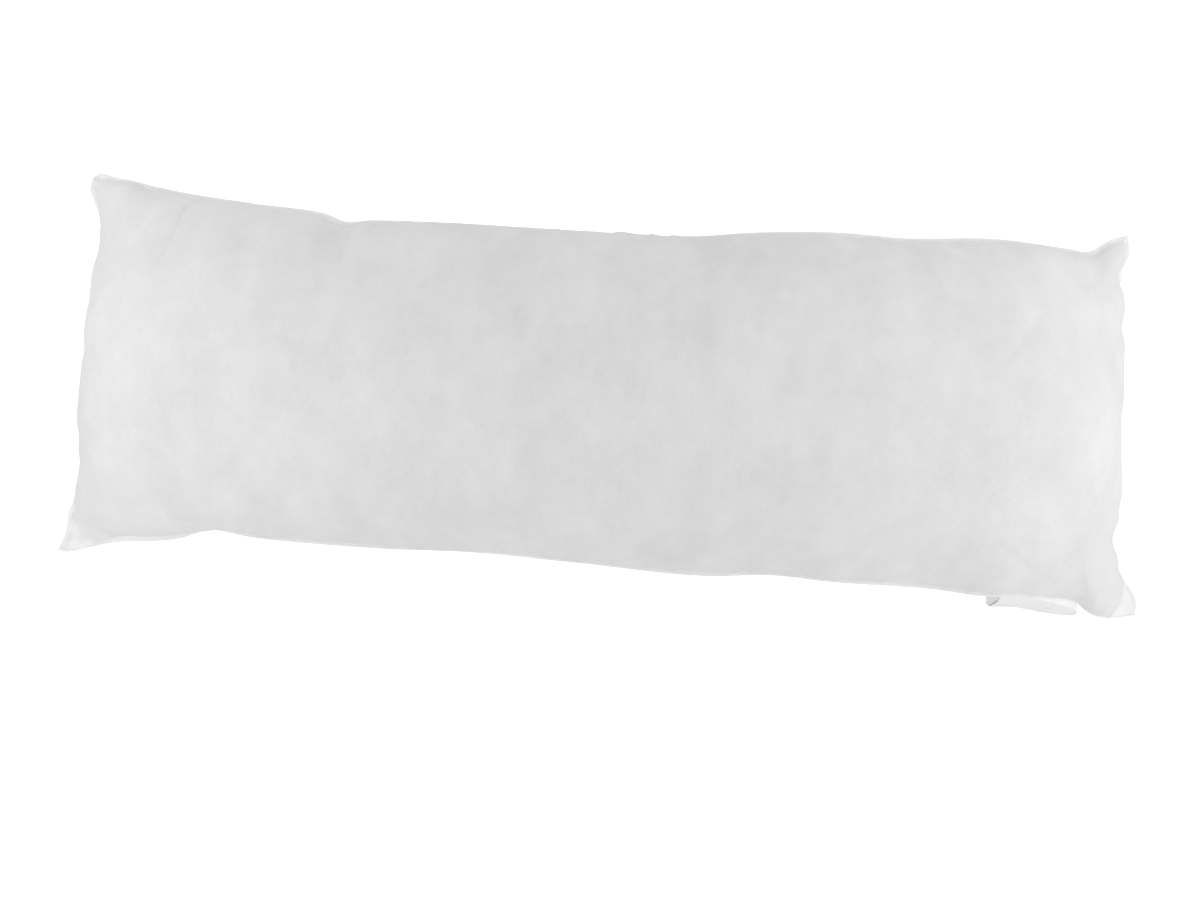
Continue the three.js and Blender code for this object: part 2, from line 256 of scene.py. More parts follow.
# The cloth while the filling presses it out, apart from what the settings give
PRESSED_CLOTH = {
    "quality": 6, "mass": 0.02, "shear_stiffness": 15, "tension_damping": 10, "compression_damping": 10,
    "shear_damping": 10, "bending_damping": 0.5, "air_damping": 3, "use_pressure": True, "pin_stiffness": 1,
}

# How high the cover's fibres stand against its bonding points, and the shade of the thread's darkest parts
FIBRE_HEIGHT = 0.35
THREAD_SHADE = 0.85

# About how many ribs a wave texture of scale 1 draws in a metre
WAVE_RIBS = 3.2

# The sensor's width in millimetres, and the photograph's width and the view's shift in it, in pixels
SENSOR_WIDTH = 36
PICTURE_WIDTH = 1200
SHIFT_X = -2
SHIFT_Y = -53

# The height of the glow above the floor, in metres
GLOW_HEIGHT = 0.0001


# Curves, tables and soft noise

def edge_curve(rows, steps=24):
    """A centripetal curve through the rows, read at a share of its length."""
    rows = np.array(rows, float)
    rows = np.vstack([2 * rows[0] - rows[1], rows, 2 * rows[-1] - rows[-2]])
    share = np.linspace(0, 1, steps, endpoint=False)[:, None]
    pieces = []
    for before, start, end, after in zip(rows, rows[1:], rows[2:], rows[3:]):
        spans = ((before, start), (start, end), (end, after))
        first, middle, last = (math.dist(a, b) ** 0.5 for a, b in spans)
        leave = middle * ((start - before) / first - (end - before) / (first + middle)) + end - start
        arrive = end - start + middle * ((after - end) / last - (after - start) / (middle + last))
        square = -3 * start + 3 * end - 2 * leave - arrive
        cube = 2 * start - 2 * end + leave + arrive
        pieces.append(start + leave * share + square * share ** 2 + cube * share ** 3)
    points = np.vstack([*pieces, rows[-2:-1]])
    length = path_length(points)
    return lambda at: np.stack([np.interp(at, length / length[-1], points[:, k]) for k in (0, 1)], -1)


def path_length(points):
    """The length of a path up to each of its points."""
    steps = np.linalg.norm(np.diff(points, axis=0), axis=1)
    return np.concatenate([[0], np.cumsum(steps)])


def distance_to(plan, x, y):
    """Distance in plan to one place."""
    return np.hypot(plan[..., 0] - x, plan[..., 1] - y)


def gaussian(distance, reach):
    """A soft hump of height 1, by the distance from its middle."""
    return np.exp(-((distance / reach) ** 2))


def smooth_step(value, low, high):
    """0 up to the low value, 1 from the high one, eased between them."""
    share = np.clip((value - low) / (high - low), 0, 1)
    return share * share * (3 - 2 * share)


def read_table(rows, column, at):
    """A column of a table between its rows, eased from row to row."""
    keys = np.array([row[0] for row in rows], float)
    values = np.array([row[column] for row in rows], float)
    before = np.clip(np.searchsorted(keys, at) - 1, 0, len(keys) - 2)
    share = smooth_step(at, keys[before], keys[before + 1])
    return values[before] * (1 - share) + values[before + 1] * share


def line_distance(plan, line):
    """Distance in plan to a line of straight pieces."""
    least = np.full(plan.shape[:-1], np.inf)
    for start, end in zip(np.array(line[:-1], float), np.array(line[1:], float)):
        way = end - start
        share = np.clip(((plan - start) @ way) / (way @ way), 0, 1)[..., None]
        least = np.minimum(least, np.linalg.norm(plan - start - share * way, axis=-1))
    return least


def soften(grid, reach):
    """Blurs the first two axes of a grid over a reach given in cells."""
    span = np.arange(-math.ceil(3 * reach), math.ceil(3 * reach) + 1)
    weights = gaussian(span, reach * math.sqrt(2))
    weights /= weights.sum()
    for axis in (0, 1):
        ends = [(0, 0)] * grid.ndim
        ends[axis] = (len(span) // 2, len(span) // 2)
        padded = np.pad(grid, ends, mode="reflect")
        grid = np.apply_along_axis(np.convolve, axis, padded, weights, mode="valid")
    return grid


def soft_noise(shape, reach, seed):
    """Seeded noise of unit size whose humps are about as wide as the reach, in cells."""
    noise = soften(np.random.default_rng(seed).standard_normal(shape), reach)
    return noise / noise.std()


def read_lines(grid, at, axis):
    """The grid's lines across an axis, read between them too, on smooth curves through the grid's points."""
    grid = np.moveaxis(grid, axis, 0)
    ends = np.concatenate([2 * grid[:1] - grid[1:2], grid, 2 * grid[-1:] - grid[-2:-1]])
    line = np.minimum(at.astype(int), len(grid) - 2)
    share = (at - line).reshape(-1, *[1] * (grid.ndim - 1))
    before, start, end, after = (ends[line + step] for step in range(4))
    square = 2 * before - 5 * start + 4 * end - after
    cube = 3 * (start - end) + after - before
    fine = start + share * (end - before + share * (square + share * cube)) / 2
    return np.moveaxis(fine, 0, axis)


# The pillow's shape in plan and height, close to the frame's own solid but not the same by the ears

FAR, NEAR, LEFT, RIGHT = (edge_curve(rows) for rows in (FAR_EDGE, NEAR_EDGE, LEFT_EDGE, RIGHT_EDGE))


def place_in_plan(along, across):
    """The place in plan of a share along and a share across, between the four edges."""
    a, c = along[..., None], across[..., None]
    sides = NEAR(along) * (1 - c) + FAR(along) * c + LEFT(across) * (1 - a) + RIGHT(across) * a
    corners = NEAR(0) * (1 - a) * (1 - c) + NEAR(1) * a * (1 - c) + FAR(0) * (1 - a) * c + FAR(1) * a * c
    return sides - corners


def fullness(share):
    """A quarter ellipse: how full the pillow is at a share of the way in from a seam."""
    return np.sqrt(1 - (1 - np.minimum(share, 1)) ** 2)


def ear_distance(plan):
    """Distance in plan to the nearest ear's tip."""
    return np.min([distance_to(plan, x, y) for x, y, *_ in EARS], axis=0)


def seam_height(plan):
    """The seam's height, with each ear curled up or down."""
    height = SEAM_HEIGHT
    for x, y, curl, *_ in EARS:
        height = height + curl * gaussian(distance_to(plan, x, y), EAR_REACH)
    return height


def gentleness(plan):
    """0 where the filling begins as steeply as round a full seam, more where it begins gently."""
    return sum(gentle * gaussian(distance_to(plan, x, y), GENTLE_REACH) for x, y, *_, gentle in EARS)


def painted_light_fade_depth(plan):
    """How thick the filling must be before the painted light, which stands for light shining through the thin
    cloth over it, is gone.
    """
    thick = PAINTED_LIGHT_DEPTH
    for x, y, _, at_ear, _ in EARS:
        thick = thick + (at_ear - PAINTED_LIGHT_DEPTH) * gaussian(distance_to(plan, x, y), EAR_REACH)
    return thick


def creased(plan, creases):
    """How far creases lower the upper panel, as heights below 0, or raise it where they are ridges."""
    return -sum(depth * gaussian(line_distance(plan, line), width) for depth, width, line in creases)


def humps(plan):
    """How far the filling's humps raise the upper panel."""
    return sum(rise * gaussian(distance_to(plan, x, y), size) for x, y, size, rise in LUMPS)


def rest_on_surface(height):
    """The rounded underside comes down softly to the flat patch that it rests on."""
    blended = (np.maximum(height, -REST_BLEND) + REST_BLEND) ** 2 / (4 * REST_BLEND)
    return np.where(height >= REST_BLEND, height, blended)


def empty_share(plan):
    """1 in the ears' unfilled tips, 0 over the filling."""
    shares = []
    for x, y, way_x, way_y, soft in EMPTY_TIPS:
        past = (plan[..., 0] - x) * way_x + (plan[..., 1] - y) * way_y
        near = distance_to(plan, x, y) < EAR_REACH
        shares.append(smooth_step(past, -soft / 2, soft / 2) * near)
    return np.max(shares, axis=0)


def lying_width(edge, axis, rows, share, edge_width):
    """How wide the sewn edge lies flat at a share along one side of the cover."""
    return read_table(rows, 1, edge(share)[..., axis]) * edge_width


def inside_edge(along, across, edge_width):
    """The place in plan for shares of the way between the inner lines of the sewn edge."""
    near = lying_width(NEAR, 0, NEAR_LIE, along, edge_width) / COVER_WIDTH
    far = lying_width(FAR, 0, FAR_LIE, along, edge_width) / COVER_WIDTH
    left = lying_width(LEFT, 1, LEFT_LIE, across, edge_width) / COVER_LENGTH
    right = lying_width(RIGHT, 1, RIGHT_LIE, across, edge_width) / COVER_LENGTH
    return place_in_plan(left + (1 - left - right) * along, near + (1 - near - far) * across)


def panel_points(along, across, side, edge_width):
    """Points of the upper (side 1) or lower (side -1) panel, inside the sewn edge."""
    plan = inside_edge(along, across, edge_width)
    from_end = np.minimum(along, 1 - along) * COVER_LENGTH / END_ROUNDING
    from_side = 2 * np.minimum(across, 1 - across)
    thinned = 1 - CORNER_THINNING * gaussian(ear_distance(plan), CORNER_REACH)
    full = (fullness(from_end) * fullness(from_side)) ** (1 + gentleness(plan))
    filled = full * thinned * (1 - empty_share(plan))
    filled = filled * read_table(SECTIONS, 1 if side > 0 else 2, plan[..., 0])
    if side > 0:
        relief = (humps(plan) + creased(plan, CREASES)) * np.minimum(1, filled / CREASE_FADE)
        height = seam_height(plan) + filled + relief
    else:
        height = rest_on_surface(seam_height(plan) - filled)
    return np.concatenate([plan, height[..., None]], -1)


def even_shares(line, cells):
    """Shares that cut a line of the cover into pieces of equal length."""
    share = np.linspace(0, 1, MEASURE_STEPS)
    length = path_length(line(share))
    return np.interp(np.linspace(0, length[-1], cells + 1), length, share)


def to_frame():
    """The move from the tables' plan to the frame: the outline's middle goes to the node's middle."""
    low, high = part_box("pillow_body")
    share = np.linspace(0, 1, OUTLINE_STEPS)
    outline = np.vstack([edge(share) for edge in (FAR, NEAR, LEFT, RIGHT)])
    middle = (outline.min(0) + outline.max(0)) / 2
    return np.array([(low.x + high.x) / 2 / MM - middle[0], (low.y + high.y) / 2 / MM - middle[1], 0])


# Meshes

def new_piece(name, points, faces, material):
    """A smooth mesh from points in millimetres, riding on the one body."""
    mesh = bpy.data.meshes.new(name)
    mesh.from_pydata(np.asarray(points) * MM, [], faces if isinstance(faces, list) else faces.tolist())
    mesh.polygons.foreach_set("use_smooth", np.ones(len(mesh.polygons), bool))
    mesh.materials.append(material)
    mesh.update()
    piece = bpy.data.objects.new(name, mesh)
    bpy.context.scene.collection.objects.link(piece)
    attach(piece, "root")
    return piece


def grid_faces(numbers):
    """The quads between neighbours along the last two axes of a grid of vertex numbers."""
    corners = (numbers[..., :-1, :-1], numbers[..., 1:, :-1], numbers[..., 1:, 1:], numbers[..., :-1, 1:])
    return np.stack([corner.ravel() for corner in corners], -1)


def closed(rings):
    """Rings of vertex numbers, each with its first number again at its end."""
    return np.concatenate([rings, rings[..., :1]], -1)


def grid_normals(grid):
    """Unit normals of a grid of points, up where its axes run along X and Y."""
    normals = np.cross(np.gradient(grid, axis=0), np.gradient(grid, axis=1))
    return normals / np.maximum(np.linalg.norm(normals, axis=-1, keepdims=True), 1e-9)


def around(grid):
    """The border of a grid as one loop, against the clock as seen from above."""
    return np.concatenate([grid[:-1, 0], grid[-1, :-1], grid[:0:-1, -1], grid[0, :0:-1]])


def write_places(mesh, places, name):
    """Keeps where each vertex lay on the flat cloth, in metres, as a UV map."""
    corners = np.empty(len(mesh.loops), int)
    mesh.loops.foreach_get("vertex_index", corners)
    layer = mesh.uv_layers.new(name=name)
    layer.uv.foreach_set("vector", (places * MM)[corners].ravel())


def write_values(mesh, values, name):
    """Keeps one number at each vertex, for the material."""
    mesh.attributes.new(name, "FLOAT", "POINT").data.foreach_set("value", values)


# Filling the cover

def sewn_panels(upper, lower, flat):
    """The two panels as one piece sewn round its edge, with the flat cut cloth as a shape key."""
    shape = upper.shape[:2]
    top = np.arange(shape[0] * shape[1]).reshape(shape)
    bottom = top.copy()
    inner = bottom[1:-1, 1:-1].shape
    bottom[1:-1, 1:-1] = top.size + np.arange(inner[0] * inner[1]).reshape(inner)
    points = np.concatenate([upper.reshape(-1, 3), lower[1:-1, 1:-1].reshape(-1, 3)])
    places = np.concatenate([flat.reshape(-1, 2), flat[1:-1, 1:-1].reshape(-1, 2)])
    faces = np.concatenate([grid_faces(top), grid_faces(bottom)[:, ::-1]])

    mesh = bpy.data.meshes.new("filling_panels")
    mesh.from_pydata(points * MM, [], faces.tolist())
    panels = bpy.data.objects.new("filling_panels", mesh)
    bpy.context.scene.collection.objects.link(panels)
    panels.shape_key_add(name="filled")
    cut = panels.shape_key_add(name="cut")
    cut.data.foreach_set("co", np.pad(places * MM, ((0, 0), (0, 1))).ravel())
    cut.value = 0
    panels.vertex_groups.new(name="seam").add(around(top).tolist(), 1, "REPLACE")
    return panels, top, bottom


def add_cloth(panels, cover):
    """Makes the panels cloth that is held at the seam and pressed out from within."""
    cloth = panels.modifiers.new("cloth", "CLOTH")
    settings = cloth.settings
    for name, value in PRESSED_CLOTH.items():
        setattr(settings, name, value)
    settings.tension_stiffness = cover.cloth_stiffness
    settings.compression_stiffness = cover.cloth_stiffness
    settings.bending_stiffness = cover.bending_stiffness
    settings.uniform_pressure_force = cover.pressure
    settings.rest_shape_key = panels.data.shape_keys.key_blocks["cut"]
    settings.vertex_group_mass = "seam"
    settings.effector_weights.gravity = 0
    cloth.collision_settings.use_collision = False
    cloth.collision_settings.use_self_collision = False
    cloth.point_cache.frame_end = cover.frames


def fill_cover(upper, lower, flat, cover):
    """Sews the two flat panels round their edge and lets the filling press them out, as cloth."""
    scene = bpy.context.scene
    panels, top, bottom = sewn_panels(upper, lower, flat)
    add_cloth(panels, cover)
    for number in range(1, cover.frames + 1):
        scene.frame_set(number)
    filled = panels.evaluated_get(bpy.context.evaluated_depsgraph_get()).to_mesh()
    pressed = np.empty(3 * len(filled.vertices))
    filled.vertices.foreach_get("co", pressed)
    scene.frame_set(1)

    mesh = panels.data
    bpy.data.objects.remove(panels)
    bpy.data.meshes.remove(mesh)
    pressed = pressed.reshape(-1, 3) / MM
    return pressed[top], pressed[bottom]


def held_back(move, limit):
    """A move of which no point goes further than the limit."""
    length = np.linalg.norm(move, axis=-1, keepdims=True)
    return move * limit * np.tanh(length / limit) / np.maximum(length, 1e-6)


# The cover

def panel_shares(cover):
    """Shares along and across the panels that cut the cloth into even cells."""
    edge_width = cover.edge_width / MM
    middle = np.full(MEASURE_STEPS, 0.5)
    along = even_shares(lambda share: panel_points(share, middle, 1, edge_width), cover.cells_along)
    across = even_shares(lambda share: panel_points(middle, share, 1, edge_width), cover.cells_across)
    return np.stack(np.meshgrid(along, across, indexing="ij"), -1)


def cover_grids(cover):
    """The two panels as they lie once filled, and the cloth places of their points."""
    edge_width = cover.edge_width / MM
    along, across = np.moveaxis(panel_shares(cover), -1, 0)
    upper = panel_points(along, across, 1, edge_width)
    lower = panel_points(along, across, -1, edge_width)
    flat = np.stack(np.meshgrid(
        np.linspace(-0.5, 0.5, cover.cells_along + 1) * CLOTH_LENGTH,
        np.linspace(-0.5, 0.5, cover.cells_across + 1) * CLOTH_WIDTH, indexing="ij"), -1)
    pressed_upper, pressed_lower = fill_cover(upper, lower, flat * cover.slack, cover)
    limit = cover.most_move / MM
    plan = upper[..., :2]
    loose = ((1 - empty_share(plan)) * (1 - gaussian(ear_distance(plan), CALM_REACH)))[..., None]
    upper = upper + held_back(pressed_upper - upper, limit) * loose
    lower = lower + held_back(pressed_lower - lower, limit) * loose
    return [finer(grid) for grid in (upper, lower, flat)]


def finer(grid):
    """Twice as many cells along both axes."""
    for axis in (0, 1):
        grid = read_lines(grid, np.arange(2 * grid.shape[axis] - 1) / 2, axis)
    return grid


def drawn_columns(count):
    """Where each column of the fine grid is read, so that columns lie closer at the sharp crease."""
    at = np.arange(count, dtype=float)
    away = at - SHARP_COLUMN * (count - 1)
    return at - COLUMN_PULL * away * gaussian(away, COLUMN_REACH)


def seam_gathers(flat, seed):
    """Small gathers that run in from the seam, irregular in width and depth."""
    from_side = CLOTH_WIDTH / 2 - np.abs(flat[..., 1])
    from_end = CLOTH_LENGTH / 2 - np.abs(flat[..., 0])
    cell = CLOTH_LENGTH / (flat.shape[0] - 1)
    total = 0
    for number, (reach, height, width) in enumerate(GATHERS, start=1):
        half = width / cell / 2
        sides = soft_noise((flat.shape[0], 2), half, seed + number)[:, :1]
        ends = soft_noise((2, flat.shape[1]), half, seed + END_SEED_STEP + number)[:1]
        for value, distance in ((sides, from_side), (ends, from_end)):
            total = total + height * value * (distance / reach) * np.exp(1 - distance / reach)
    return total


def uneven_panel(panel, side, flat, fade, cover):
    """A panel with the filling's small lumps and the seam's gathers, out from it on its side."""
    lumps = cover.lump_height / MM * soft_noise(fade.shape, LUMP_CELLS, LUMP_SEEDS[side]) * fade
    return panel + side * grid_normals(panel) * (lumps + seam_gathers(flat, GATHER_SEEDS[side]))[..., None]


def finished_panels(cover):
    """The two panels with all their detail, the cloth places of their points, and how filled they are."""
    upper, lower, flat = cover_grids(cover)
    fade = np.minimum(1, (upper[..., 2] - lower[..., 2]) / CREASE_FADE)
    upper = uneven_panel(upper, 1, flat, fade, cover)
    lower = uneven_panel(lower, -1, flat, fade, cover)

    columns = drawn_columns(len(flat))
    upper, lower, flat = (read_lines(grid, columns, 0) for grid in (upper, lower, flat))
    filled = upper[..., 2] - lower[..., 2]
    detail = creased(upper[..., :2], WRINKLES) * cover.wrinkle_depth * np.minimum(1, filled / WRINKLE_FADE)
    upper = upper + grid_normals(upper) * detail[..., None]
    lower[..., 2] = rest_on_surface(lower[..., 2])

    middle = (upper[..., 2] + lower[..., 2]) / 2
    spread = np.maximum((upper[..., 2] - lower[..., 2]) / 2, cover.edge_thickness / MM / 2)
    upper[..., 2], lower[..., 2] = middle + spread, middle - spread
    return upper, lower, flat, filled


def build_cover(cover, material):
    """The whole filled cover, closed all round by its sewn edge."""
    upper, lower, flat, filled = finished_panels(cover)
    loops = sewn_edge(cover)
    top = np.arange(filled.size).reshape(filled.shape)
    bottom = top + top.size
    border = around(flat)
    outward = border / np.linalg.norm(border, axis=1, keepdims=True)
    rings = 2 * top.size + np.arange(len(loops) * len(border)).reshape(len(loops), -1)
    rings = closed(np.vstack([around(top), rings, around(bottom)]))
    faces = np.concatenate([grid_faces(top), grid_faces(bottom)[:, ::-1], grid_faces(rings)])
    points = np.vstack([upper.reshape(-1, 3), lower.reshape(-1, 3), *(loop for _, loop in loops)])
    places = np.vstack([flat.reshape(-1, 2)] * 2 + [border + outward * step for step, _ in loops])

    piece = new_piece("pillow_cover", points + to_frame(), faces, material)
    write_places(piece.data, places, "cloth")
    # Painted light: 0 where the cloth is thin and unfilled and gets the lighter colour that stands for light
    # shining through it, up to 1 over thick filling; the sewn edge gets 0
    painted_light_mix = smooth_step(filled, 0, painted_light_fade_depth(upper[..., :2])).ravel()
    unfilled = np.zeros(len(points) - 2 * painted_light_mix.size)
    write_values(piece.data, np.concatenate([painted_light_mix, painted_light_mix, unfilled]), "filled")
    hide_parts("pillow_body")
    return piece


# The sewn edge

def edge_lines(cover):
    """The sewn edge's inner and outer line and the way up from it, in a loop round the cover."""
    width = cover.edge_width / MM
    shares = finer(panel_shares(cover))
    border = around(read_lines(shares, drawn_columns(len(shares)), 0))
    inner = inside_edge(border[:, 0], border[:, 1], width)
    outer = place_in_plan(border[:, 0], border[:, 1])
    lies = np.linalg.norm(outer - inner, axis=1)
    bent = np.sqrt(np.maximum(0, width ** 2 - lies ** 2))
    wave = sum(soft_noise((len(border), 3), cells, seed)[:, 1] * high for cells, high, seed in EDGE_WAVES)
    height = seam_height(outer)
    inner, outer = np.column_stack([inner, height]), np.column_stack([outer, height - bent + wave])
    onward = np.roll(outer, -1, axis=0) - np.roll(outer, 1, axis=0)
    up = np.cross(outer - inner, onward)
    return inner, outer, up / np.linalg.norm(up, axis=1, keepdims=True)


def sewn_edge(cover):
    """Loops of the flat sewn edge, from its upper side round to its lower one."""
    inner, outer, up = edge_lines(cover)
    half, width = cover.edge_thickness / MM / 2, cover.edge_width / MM
    return [
        (share * width, inner * (1 - share) + outer * share + side * half * up)
        for share, side in EDGE_SECTION]


# The stitching

def along_loop(values, length, at):
    """The values of a loop's points, read at distances along it."""
    values = np.vstack([values, values[:1]])
    return np.stack([np.interp(at, length, values[:, k]) for k in range(3)], -1)


def thread_points(middle, rise, aside, radius):
    """Rings of points about the middle line of each stitch."""
    turn = np.arange(STITCH_SIDES) * 2 * math.pi / STITCH_SIDES
    out = np.cos(turn)[:, None] * aside[..., None, :] + np.sin(turn)[:, None] * rise[..., None, :]
    return (middle[..., None, :] + out * radius[:, None, None]).reshape(-1, 3)


def build_stitching(cover, stitching, material):
    """Lock stitches round the whole sewn edge, on its upper and its lower side."""
    inner, outer, up = edge_lines(cover)
    line = inner + (outer - inner) * stitching.from_cover / cover.edge_width
    length = path_length(np.vstack([line, line[:1]]))
    count = round(length[-1] / (stitching.pitch / MM))
    way = np.linspace(-0.5, 0.5, STITCH_RINGS)
    uneven = np.random.default_rng(STITCH_SEED).standard_normal((count, 2))
    at = (np.arange(count)[:, None] + UNEVEN_PITCH * uneven[:, :1]) * length[-1] / count
    at = (at + way * stitching.stitch_length / MM) % length[-1]
    middle, rise, aside = (along_loop(values, length, at) for values in (line, up, outer - inner))
    aside = aside / np.linalg.norm(aside, axis=-1, keepdims=True)
    middle = middle + aside * uneven[:, 1:, None] * UNEVEN_LINE

    radius = stitching.thread / MM / 2
    arch = cover.edge_thickness / MM / 2 + radius * (ARCH_TOP - ARCH_FALL * way ** 2)
    thick = radius * np.sqrt(THICKNESS_TOP - THICKNESS_FALL * way ** 2)
    points = np.vstack([
        thread_points(middle + side * rise * arch[:, None], rise, aside, thick) for side in (1, -1)])
    numbers = np.arange(len(points)).reshape(-1, STITCH_RINGS, STITCH_SIDES)
    faces = grid_faces(closed(numbers)).tolist()
    faces += numbers[:, 0, ::-1].tolist() + numbers[:, -1].tolist()
    return new_piece("seam_stitching", points + to_frame(), faces, material)


# The label

def closed_sheet(name, middle, thickness, material):
    """A thin closed sheet about a grid of points on its middle surface."""
    normals = grid_normals(middle)
    count = middle.shape[0] * middle.shape[1]
    front = np.arange(count).reshape(middle.shape[:2])
    rim = closed(np.stack([around(front + count), around(front)]))
    points = np.concatenate([
        (middle + normals * thickness / 2).reshape(-1, 3), (middle - normals * thickness / 2).reshape(-1, 3)])
    faces = np.concatenate([grid_faces(front), grid_faces(front + count)[:, ::-1], grid_faces(rim)])
    return new_piece(name, points + to_frame(), faces, material)


def label_columns(strip, share):
    """Where each column of the label lies along the seam, at each step along the strip."""
    left, right = (read_table(LABEL_SIDES, side, strip) for side in (1, 2))
    return left + share[:, None] * (right - left)


def crinkle_height(share, way, label):
    """How high the label crinkles, down to nothing at its seam, its fold and its sides."""
    inside = np.minimum(1, np.minimum(way / CRINKLE_FROM_SEAM, (way[-1] - way) / CRINKLE_FROM_FOLD))
    from_side = smooth_step(np.minimum(share, 1 - share), 0, CRINKLE_FROM_SIDE)
    return inside * label.crinkle / MM * from_side[:, None]


def label_layer(side, strip, share, way, label):
    """The front (side 1) or rear (side -1) layer, as distances out and down, and its slope at each point."""
    tuck = label.tuck / MM
    past = way - tuck - read_table(LABEL_CREASE, 1, label_columns(strip, share))
    slope = np.radians(np.where(way < tuck, UNDER_SEAM_SLOPE, read_table(LABEL_SLOPES, 1, past)))
    between = (slope[:, 1:] + slope[:, :-1]) / 2
    steps = np.stack([np.cos(between), np.sin(between)], -1) * way[1]
    path = np.pad(np.cumsum(steps, axis=1), ((0, 0), (1, 0), (0, 0)))
    away = np.stack([np.sin(slope), -np.cos(slope)], -1)
    trough = label.crease_depth / MM * gaussian(past - TROUGH_PLACE, TROUGH_WIDTH)
    uneven = np.abs(soft_noise(slope.shape, CRINKLE_CELLS, CRINKLE_SEEDS[side]))
    clear = label.layer_gap / MM / 2 + crinkle_height(share, way, label) * uneven
    return path - away * trough[..., None] + side * clear[..., None] * away, slope


def label_fold(front, rear, slope, cells):
    """The round bend from the front layer's lower end to the rear layer's."""
    turn = np.linspace(0, math.pi, cells + 1)[1:-1, None]
    across = (front[:, -1:] - rear[:, -1:]) / 2
    half = np.linalg.norm(across, axis=-1, keepdims=True)
    onward = np.stack([np.cos(slope[:, -1]), np.sin(slope[:, -1])], -1)[:, None]
    return (front[:, -1:] + rear[:, -1:]) / 2 + np.cos(turn) * across + np.sin(turn) * half * onward


def build_label(label, material):
    """A bare strip of label cloth folded in half, with both ends under the sewn edge."""
    along, down, round_fold = LABEL_CELLS
    share = np.linspace(0, 1, along + 1)
    way = np.linspace(0, label.layer_length / MM, down + 1)
    strip = way / way[-1] / 2
    front, slope = label_layer(1, strip, share, way, label)
    rear, _ = label_layer(-1, 1 - strip, share, way, label)
    fold = label_fold(front, rear, slope, round_fold)
    section = np.concatenate([front, fold, rear[:, ::-1]], axis=1)

    x = label_columns(np.concatenate([strip, np.full(round_fold - 1, 0.5), 1 - strip[::-1]]), share)
    seam = near_edge_at(x) + label.tuck / MM
    top = seam_height(np.stack([x, seam], -1)) - label.below_seam / MM
    grid = np.stack([x, seam - section[..., 0], top - section[..., 1]], -1)
    piece = closed_sheet("care_label_cloth", grid, label.thickness / MM, material)

    # Painted shade: the inner side darker all over, and the outside darker where it hangs steeply and round
    # the fold
    hangs = smooth_step(slope, *(math.radians(degrees) for degrees in PAINTED_SHADE_SLOPES))
    outside = np.concatenate([hangs, np.ones(fold.shape[:2]), hangs[:, ::-1]], axis=1).ravel()
    label_shade_share = np.concatenate([np.ones(outside.size), label.hanging_shade * outside])
    write_values(piece.data, label_shade_share, "painted_shade")
    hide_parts("care_label")
    return piece


def near_edge_at(x):
    """How far across the near seam lies at a place along it."""
    rows = NEAR(np.linspace(0, 1, SEAM_STEPS))
    return np.interp(x, rows[:, 0], rows[:, 1])


# Materials

def new_material(name):
    """A material, its node tree and its surface shader."""
    material = bpy.data.materials.new(name)
    material.use_nodes = True
    return material, material.node_tree, material.node_tree.nodes["Principled BSDF"]


def set_inputs(tree, node, inputs):
    """Sets a node's inputs to values, or links them where the value is another node's output."""
    for name, value in inputs.items():
        if isinstance(value, bpy.types.NodeSocket):
            tree.links.new(value, node.inputs[name])
        else:
            node.inputs[name].default_value = value


def add_node(tree, kind, inputs, **settings):
    """A shader node of one kind, with its settings and inputs."""
    node = tree.nodes.new("ShaderNode" + kind)
    for name, value in settings.items():
        setattr(node, name, value)
    set_inputs(tree, node, inputs)
    return node


def place_on_piece(tree):
    """The place on the piece itself, in metres."""
    return add_node(tree, "TexCoord", {}).outputs["Object"]


def vertex_value(tree, name):
    """The number that the mesh keeps at each vertex under a name."""
    return add_node(tree, "Attribute", {}, attribute_name=name).outputs["Fac"]


def mixed_colour(tree, share, first, second):
    """The first colour where the share is 0, the second where it is 1."""
    inputs = {"A": (*first, 1), "B": (*second, 1), "Factor": share}
    return add_node(tree, "Mix", inputs, data_type="RGBA").outputs["Result"]


def shaded_colour(tree, colour, shade):
    """A colour made darker or lighter by a factor."""
    return add_node(tree, "VectorMath", {0: colour, "Scale": shade}, operation="SCALE").outputs["Vector"]


def bumped(tree, height, strength, depth):
    """The surface's normals over a height."""
    inputs = {"Height": height, "Strength": strength, "Distance": depth}
    return add_node(tree, "Bump", inputs).outputs["Normal"]


def cloudy_shade(tree, finish):
    """Lighter and darker patches, as where the filling is thicker or thinner behind the cloth."""
    place = add_node(tree, "Mapping", {"Vector": place_on_piece(tree), "Scale": (1.25, 0.8, 1)})
    clouds = add_node(tree, "TexNoise", {
        "Vector": place.outputs["Vector"], "Scale": 1 / finish.cloud_size, "Detail": 6, "Roughness": 0.8})
    return add_node(tree, "MapRange", {
        "Value": clouds.outputs["Fac"], "From Min": 0.25, "From Max": 0.75,
        "To Min": 1 - finish.cloudiness, "To Max": 1 + finish.cloudiness}).outputs["Result"]


def bonding_lattice(tree, finish):
    """0 in the middle of each bonding point and 1 between them, on a square lattice turned by 45 degrees."""
    cloth = add_node(tree, "UVMap", {}, uv_map="cloth")
    lattice = add_node(tree, "Mapping", {
        "Vector": cloth.outputs["UV"], "Rotation": (0, 0, math.pi / 4),
        "Scale": (1 / finish.bond_spacing,) * 3})
    points = add_node(
        tree, "TexVoronoi", {"Vector": lattice.outputs["Vector"], "Scale": 1, "Randomness": 0},
        voronoi_dimensions="2D")
    return add_node(
        tree, "MapRange", {"Value": points.outputs["Distance"], "From Min": 0.15, "From Max": 0.4},
        interpolation_type="SMOOTHSTEP").outputs["Result"]


